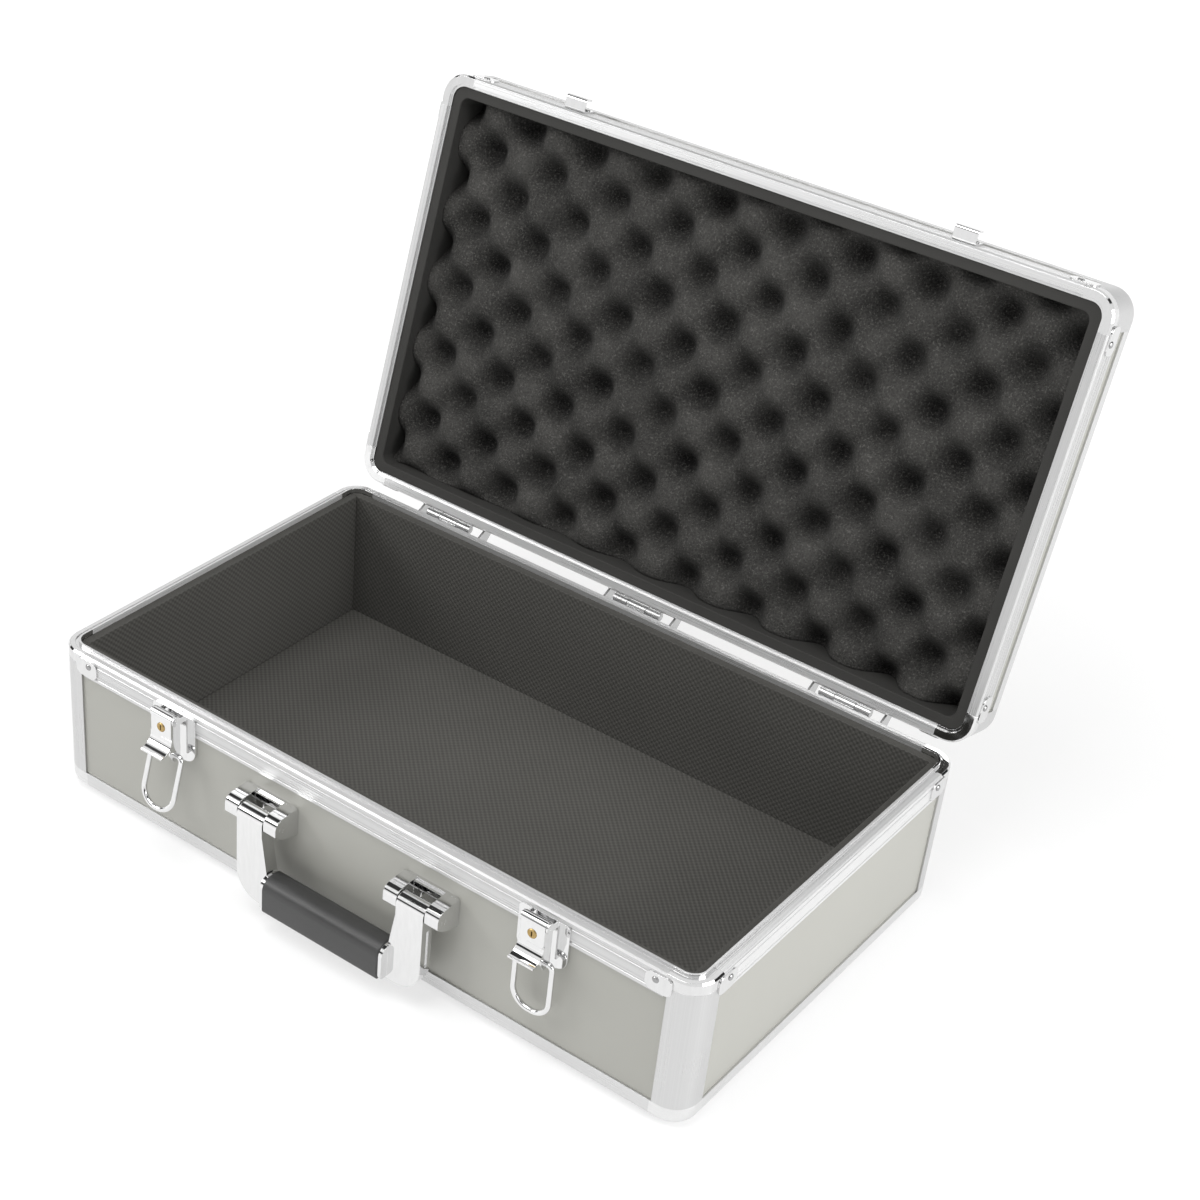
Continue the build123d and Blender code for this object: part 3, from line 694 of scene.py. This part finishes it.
def roundedLoop(mesh, low, high, height, radius):
    older = set(mesh.edges)
    corners = bmesh.ops.create_grid(mesh, x_segments=1, y_segments=1, size=0.5)["verts"]
    bmesh.ops.scale(mesh, vec=(high.x - low.x, high.y - low.y, 1), verts=corners)
    bmesh.ops.translate(mesh, vec=((low.x + high.x) / 2, (low.y + high.y) / 2, height),
                        verts=corners)
    bmesh.ops.bevel(mesh, geom=corners, offset=radius, offset_type="OFFSET",
                    segments=band["roundSteps"], profile=0.5, affect="VERTICES", material=-1)
    return [edge for edge in mesh.edges if edge not in older]


def makeLidBand():
    low, high = nodeBox("lid_lining", lidShut)
    foamLow, foamHigh = nodeBox("lid_foam", lidShut)
    mesh = bmesh.new()
    outerEdges = roundedLoop(mesh, low, high, low.z, band["outerRound"])
    innerEdges = roundedLoop(mesh, foamLow, foamHigh, low.z, band["innerRound"])
    bmesh.ops.delete(mesh, geom=mesh.faces[:], context="FACES_ONLY")
    ring = bmesh.ops.bridge_loops(mesh, edges=outerEdges + innerEdges)["faces"]
    wall = bmesh.ops.extrude_face_region(mesh, geom=ring)["geom"]
    moved = [item for item in wall if isinstance(item, bmesh.types.BMVert)]
    bmesh.ops.translate(mesh, vec=(0, 0, high.z - low.z), verts=moved)
    bmesh.ops.recalc_face_normals(mesh, faces=mesh.faces)
    bmesh.ops.transform(mesh, matrix=lidOpen, verts=mesh.verts)
    piece = newPiece("lid_band", mesh, ["band"], "lid", "lid_lining")
    soften = piece.modifiers.new("soften", "BEVEL")
    soften.width = band["rounding"]
    soften.segments = band["edgeSteps"]
    soften.angle_limit = band["edgeAngle"]


def crateDepth(x, y):  # 0 on a peak, 1 in a valley
    slope, rise = math.sin(eggCrate["turn"]), math.cos(eggCrate["turn"])
    across = x * rise + y * (slope + eggCrate["lean"]) - eggCrate["peakX"]
    along = y * rise - x * slope - eggCrate["peakY"]
    waveX = math.cos(2 * math.pi * across / eggCrate["pitchX"])
    waveY = math.cos(2 * math.pi * along / eggCrate["pitchY"])
    return 0.5 - 0.5 * waveX * waveY


def roundCorner(vertex, middle, size):  # pulls a vertex in from the sheet's square corner
    radius = eggCrate["corner"]
    x, y = vertex.co.x - middle.x, vertex.co.y - middle.y
    cornerX = max(abs(x) - size.x / 2 + radius, 0)
    cornerY = max(abs(y) - size.y / 2 + radius, 0)
    reach = math.hypot(cornerX, cornerY)
    if reach > radius:
        vertex.co.x += math.copysign(cornerX * (radius / reach - 1), x)
        vertex.co.y += math.copysign(cornerY * (radius / reach - 1), y)


def makeEggCrate():
    low, high = nodeBox("lid_foam", lidShut)
    size = high - low
    middle = (low + high) / 2
    mesh = bmesh.new()
    bmesh.ops.create_grid(mesh, x_segments=round(size.x / eggCrate["cell"]),
                          y_segments=round(size.y / eggCrate["cell"]), size=0.5)
    bmesh.ops.scale(mesh, vec=size, verts=mesh.verts)
    bmesh.ops.translate(mesh, vec=(middle.x, middle.y, 0), verts=mesh.verts)
    for vertex in mesh.verts:
        x, y = vertex.co.x, vertex.co.y
        roundCorner(vertex, middle, size)
        lump = noise.noise(Vector((x, y, 0)) * eggCrate["unevenScale"]) + 0.5
        depth = crateDepth(x, y) ** eggCrate["sharpness"] * eggCrate["valley"]
        vertex.co.z = low.z + max(depth + lump * eggCrate["unevenness"], 0)
    border = [edge for edge in mesh.edges if edge.is_boundary]
    skirt = bmesh.ops.extrude_edge_only(mesh, edges=border)["geom"]
    for item in skirt:
        if isinstance(item, bmesh.types.BMVert):
            item.co.z = high.z
    back = [edge for edge in mesh.edges if edge.is_boundary]
    bmesh.ops.contextual_create(mesh, geom=back)
    bmesh.ops.recalc_face_normals(mesh, faces=mesh.faces)
    for face in mesh.faces:
        face.smooth = len(face.verts) == 4 and abs(face.normal.z) > eggCrate["flank"]
    bmesh.ops.transform(mesh, matrix=lidOpen, verts=mesh.verts)
    newPiece("egg_crate", mesh, ["crate"], "lid", "lid_foam")


makeBaseLining()
print("base lined")
makeLidBand()
makeEggCrate()
print("lid lined")


# A pale floor that glows more the further it lies from the case
studio = {
    "floorTone": 0.36,
    "floorRoughness": 0.6,
    "floorHalf": 8,
    "floorGlow": 0.60,
    "farGlow": 0.42,           # what the glow gains from near to far
    "near": 0.5,
    "far": 2.2,
}


def floorFinish():
    f = Finish("pale_floor")
    reach = f.node("ShaderNodeVectorMath", {"operation": "LENGTH"}, {0: f.place}, output=1)
    span = studio["far"] - studio["near"]
    away = f.node("ShaderNodeClamp", {}, {0: (reach - studio["near"]) / span})
    glow = f.blend(away, grey(1.0), grey(1.0 + studio["farGlow"]))
    return f.done(Base_Color=grey(studio["floorTone"]), Roughness=studio["floorRoughness"],
                  Emission_Color=glow, Emission_Strength=studio["floorGlow"])


def makeFloor():
    mesh = bmesh.new()
    bmesh.ops.create_grid(mesh, x_segments=1, y_segments=1, size=studio["floorHalf"])
    bmesh.ops.translate(mesh, vec=(0, 0, cadLow.z), verts=mesh.verts)
    data = bpy.data.meshes.new("floor")
    mesh.to_mesh(data)
    mesh.free()
    data.materials.append(floorFinish())
    floor = bpy.data.objects.new("floor", data)
    bpy.context.scene.collection.objects.link(floor)


# Brightness of the surroundings by height above the horizon in degrees: white sheets
# with two dark gaps between them
surroundings = ((0, 1.02), (11, 1.02), (14, 0.03), (26, 0.03), (29, 1.0), (51, 1.0), (54, 0.04),
                (67, 0.04), (70, 0.95), (90, 0.95))


def makeWorld():
    world = bpy.data.worlds.new("studio")
    bpy.context.scene.world = world
    world.use_nodes = True
    kit = Kit(world.node_tree)
    place = kit.node("ShaderNodeTexCoord", output="Generated")
    height = kit.node("ShaderNodeSeparateXYZ", {}, {0: place}, output="Z")
    stops = [(math.sin(math.radians(degrees)), grey(tone)) for degrees, tone in surroundings]
    sheen = kit.node("ShaderNodeValToRGB", {"stops": stops}, {0: height})
    kit.feed(world.node_tree.nodes["Background"].inputs["Color"], sheen)


lamps = {
    "leftBox": {"at": (-1.6, -1.4, 1.3), "to": (0, 0, 0.1), "size": 0.9, "power": 15},
    "rightBox": {"at": (1.9, 0.2, 0.9), "to": (0.1, 0, 0.05), "size": 1.2, "power": 26},
    "topBox": {"at": (-0.2, -0.7, 2.0), "to": (0, 0.1, 0.2), "size": 1.2, "power": 22},
}


def makeLamps():
    for name, lamp in lamps.items():
        data = bpy.data.lights.new(name, "AREA")
        data.size = lamp["size"]
        data.energy = lamp["power"]
        piece = bpy.data.objects.new(name, data)
        piece.location = lamp["at"]
        direction = Vector(lamp["to"]) - Vector(lamp["at"])
        piece.rotation_euler = direction.to_track_quat("-Z", "Y").to_euler()
        bpy.context.scene.collection.objects.link(piece)


makeFloor()
makeWorld()
makeLamps()
bpy.context.scene.view_settings.view_transform = "Standard"
bpy.context.scene.view_settings.look = "None"
bpy.context.scene.view_settings.exposure = 0.0
print("studio lit")
